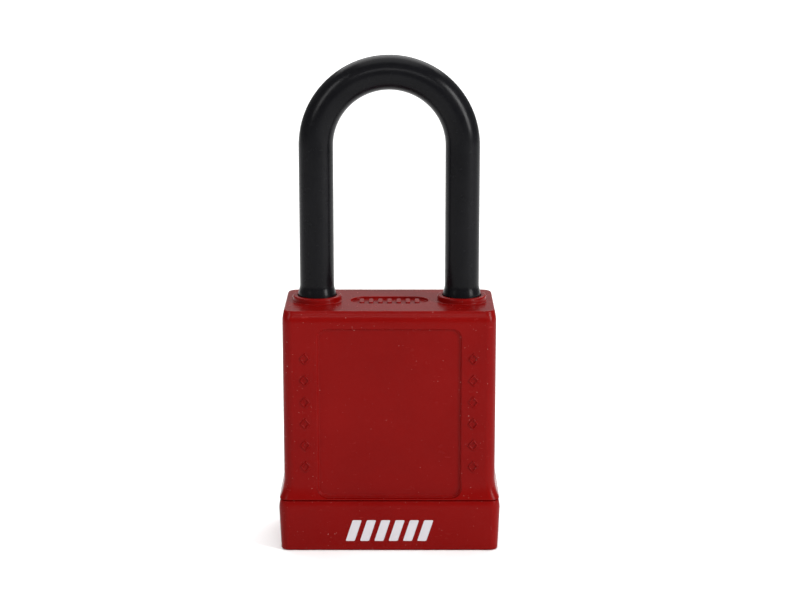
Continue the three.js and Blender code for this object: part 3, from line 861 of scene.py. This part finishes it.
def make_plug(material):
    """The turned brass plug: keyway, five pin chambers, retaining groove and driving tongue."""
    face, radius = PLUG_LOW.z, PLUG_HIGH.x
    face_round, top_chamfer = 0.3, 0.2
    profile = [
        (radius - face_round * (1 - math.sin(angle)), face + face_round * (1 - math.cos(angle)))
        for angle in quarter(ROUND_STEPS)
    ]
    profile += [
        (radius, GROOVE_Z - GROOVE_HALF),
        (radius - GROOVE_DEPTH, GROOVE_Z - GROOVE_HALF),
        (radius - GROOVE_DEPTH, GROOVE_Z + GROOVE_HALF),
        (radius, GROOVE_Z + GROOVE_HALF),
        (radius, PLUG_TOP - top_chamfer),
        (radius - top_chamfer, PLUG_TOP),
    ]
    plug = to_object("plug_turned", turned(profile, FINE_ROUND))
    tongue_low = (-TONGUE_HALF_X, -TONGUE_HALF_Y, PLUG_TOP - PAST)
    tongue_high = (TONGUE_HALF_X, TONGUE_HALF_Y, PLUG_HIGH.z)
    join(plug, block(tongue_low, tongue_high))
    cut(plug, skin([[(x, y, z) for x, y in KEYWAY] for z in (face - PAST, KEYWAY_TOP)]))
    for number in range(1, PIN_COUNT + 1):
        cut(plug, pin_chamber(number))
    smooth(plug)
    finish_piece(plug, material, "cylinder", "plug_brass", "cylinder_plug")


# ---- springs ---------------------------------------------------------------------------------

def coil(low, high, radius, wire, active_turns):
    """A compression spring about Z between two heights, with a closed turn ground flat at each end."""
    steps_per_turn, sides = 32, 14
    inset = 0.6 * wire
    closed = CLOSED_PITCH * wire
    active_pitch = (high - low - 2 * inset - 2 * closed) / active_turns
    rings = []
    for step in range((active_turns + 2) * steps_per_turn + 1):
        turn = step / steps_per_turn
        active = min(max(turn - 1, 0), active_turns)
        centre = low + inset + active * active_pitch + (turn - active) * closed
        angle = 2 * math.pi * turn
        ring = []
        for across, up in circle(wire, sides):
            out = radius + across
            z = min(max(centre + up, low), high)
            ring.append((out * math.cos(angle), out * math.sin(angle), z))
        rings.append(ring)
    return skin(rings)


def make_lift_spring(material):
    """The spring under the heel leg."""
    low, high = (corner.z for corner in box_mm("lift_spring"))
    spring = to_object("lift_coil", shift(coil(low, high, **LIFT_COIL), -LEG_X))
    smooth(spring, 50)
    paint(spring, material)
    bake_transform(spring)
    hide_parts("lift_spring")


def make_pin_spring(number, material):
    """A pin spring, lying along X at its chamber's height."""
    node = f"pin_spring_{number}"
    inner, outer = (corner.x for corner in box_mm(node))
    height = pin_height(number)
    bm = coil(inner, outer, **PIN_COIL)
    lying = Matrix.Rotation(math.pi / 2, 3, "Y")
    bmesh.ops.rotate(bm, verts=bm.verts, cent=(0, 0, 0), matrix=lying)
    spring = to_object(f"pin_coil_{number}", shift(bm, z=height))
    smooth(spring, 50)
    finish_piece(spring, material, "body", "spring_wire", node)
    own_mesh(spring)


# ---- camera, light and floor -----------------------------------------------------------------

def make_camera():
    """A long lens a little above the padlock, looking slightly down at its front."""
    tilt = math.radians(12.95)
    distance = 0.3765
    target = Vector((0.0020, 0, 0.0466))
    ahead = Vector((0, math.cos(tilt), -math.sin(tilt)))
    data = bpy.data.cameras.new("camera")
    data.sensor_width = 36
    data.lens = 89
    data.clip_start = 0.01
    camera = bpy.data.objects.new("camera", data)
    camera.location = target - distance * ahead
    camera.rotation_euler = ahead.to_track_quat("-Z", "Y").to_euler()
    bpy.context.scene.collection.objects.link(camera)
    bpy.context.scene.camera = camera


def softbox(name, place, size, power, aim=(0, 0, 0.045)):
    """A rectangular studio light, aimed at the padlock unless it says otherwise."""
    data = bpy.data.lights.new(name, "AREA")
    data.shape = "RECTANGLE"
    data.size, data.size_y = size
    data.energy = power
    light = bpy.data.objects.new(name, data)
    light.location = place
    away = Vector(aim) - Vector(place)
    light.rotation_euler = away.to_track_quat("-Z", "Y").to_euler()
    bpy.context.scene.collection.objects.link(light)


def make_paper():
    """White paper on the table, just clear of the padlock's underside."""
    gap = 0.05
    bm = bmesh.new()
    bmesh.ops.create_grid(bm, x_segments=24, y_segments=24, size=6)
    floor = to_object("floor", shift(bm, z=-gap))
    floor.data.materials.append(studio_paper())


def make_light():
    """Soft white light from all round, with softboxes above, at both sides, in front and behind."""
    world = bpy.data.worlds.new("studio")
    world.use_nodes = True
    background = world.node_tree.nodes["Background"]
    background.inputs["Color"].default_value = (1, 1, 1, 1)
    background.inputs["Strength"].default_value = 0.3
    bpy.context.scene.world = world
    softbox("overhead", (0, 0.1, 0.75), (0.6, 0.6), 2.35)
    softbox("key_right", (0.546, -0.315, 0.3), (0.2, 0.42), 5.1)
    softbox("fill_left", (-0.5, -0.4, 0.4), (0.16, 0.36), 1.7)
    softbox("front_strip", (0.05, -0.6, 0.4), (0.5, 0.06), 0.85)
    softbox("backdrop_wash", (0, 1.25, 1), (1.6, 1.6), 22, aim=(0, 1.25, 0))
    softbox("back_glow", (0, 1.6, 0.42), (2, 0.6), 0.6)
    bpy.context.scene.view_settings.view_transform = "Standard"


# ---- assembly --------------------------------------------------------------------------------

def make_materials():
    """The worked material of each of the record's slots, and the ink."""
    steel = ((0.42, 0.43, 0.45), (0.58, 0.59, 0.61))
    hard_steel = ((0.3, 0.31, 0.33), (0.46, 0.47, 0.49))
    wire = ((0.5, 0.51, 0.53), (0.66, 0.67, 0.69))
    aluminium = ((0.62, 0.63, 0.65), (0.78, 0.79, 0.8))
    plug_brass = ((0.62, 0.44, 0.18), (0.78, 0.6, 0.28))
    pin_brass = ((0.6, 0.43, 0.18), (0.8, 0.63, 0.32))
    return {
        "red_plastic": red_plastic(),
        "black_nylon": black_nylon(),
        "white_ink": white_ink(),
        "shackle_steel": metal("shackle_steel", *steel, 0.32, (1, 1, 0.08)),
        "hardened_steel": metal("hardened_steel", *hard_steel, 0.34, (0.3, 1, 1)),
        "spring_wire": metal("spring_wire", *wire, 0.22, (1, 1, 1), depth_mm=0.001),
        "lock_aluminium": metal("lock_aluminium", *aluminium, 0.4, (0.1, 1, 1)),
        "plug_brass": metal("plug_brass", *plug_brass, 0.3, (1, 1, 0.15)),
        "pin_brass": metal("pin_brass", *pin_brass, 0.26, (1, 1, 1), depth_mm=0.002),
    }


def dress_cad_nodes(materials):
    """Gives every CAD node the worked material of its slot."""
    for part in frame["record"]["subparts"]:
        paint(frame["nodes"][part["node"]], materials[part["material_slot"]])


make_camera()
make_paper()
make_light()
looks = make_materials()
dress_cad_nodes(looks)
make_cover(looks["red_plastic"])
make_base_cap(looks["red_plastic"])
make_print(looks["white_ink"])
make_sleeve(looks["black_nylon"])
make_core(looks["shackle_steel"])
make_plug(looks["plug_brass"])
make_lift_spring(looks["spring_wire"])
for number in range(1, PIN_COUNT + 1):
    make_pin_spring(number, looks["spring_wire"])
